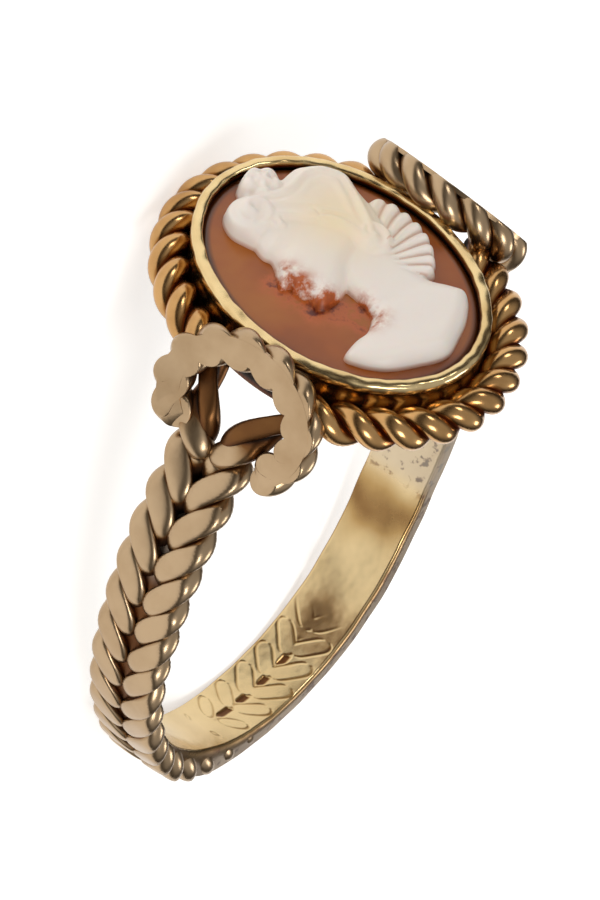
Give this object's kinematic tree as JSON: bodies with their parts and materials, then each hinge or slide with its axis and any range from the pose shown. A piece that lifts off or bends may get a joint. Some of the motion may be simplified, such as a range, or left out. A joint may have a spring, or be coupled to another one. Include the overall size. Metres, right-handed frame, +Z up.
{
  "type": "cameo ring",
  "caption": "Gold cameo ring: oval shell cameo in a rubbed-over collet with a twisted rope border, twisted wire loops on the shoulders and a plaited wire band.",
  "frame": {"origin": "on the floor under the middle of the lying ring's box", "axes": "+Z up from the floor, +X across the finger toward the shoulder behind the portrait, +Y from the back of the band toward the head"},
  "size_m": [0.0192, 0.0232, 0.0134],
  "materials": {
    "gold": "polished 9 carat gold with darkened recesses",
    "shell_brown": "polished shell, brown layer",
    "shell_white": "carved shell, white layer"
  },
  "bodies": {
    "root": {"mount": "gold", "cameo_ground": "shell_brown", "cameo_bust": "shell_white"}
  },
  "joints": []
}
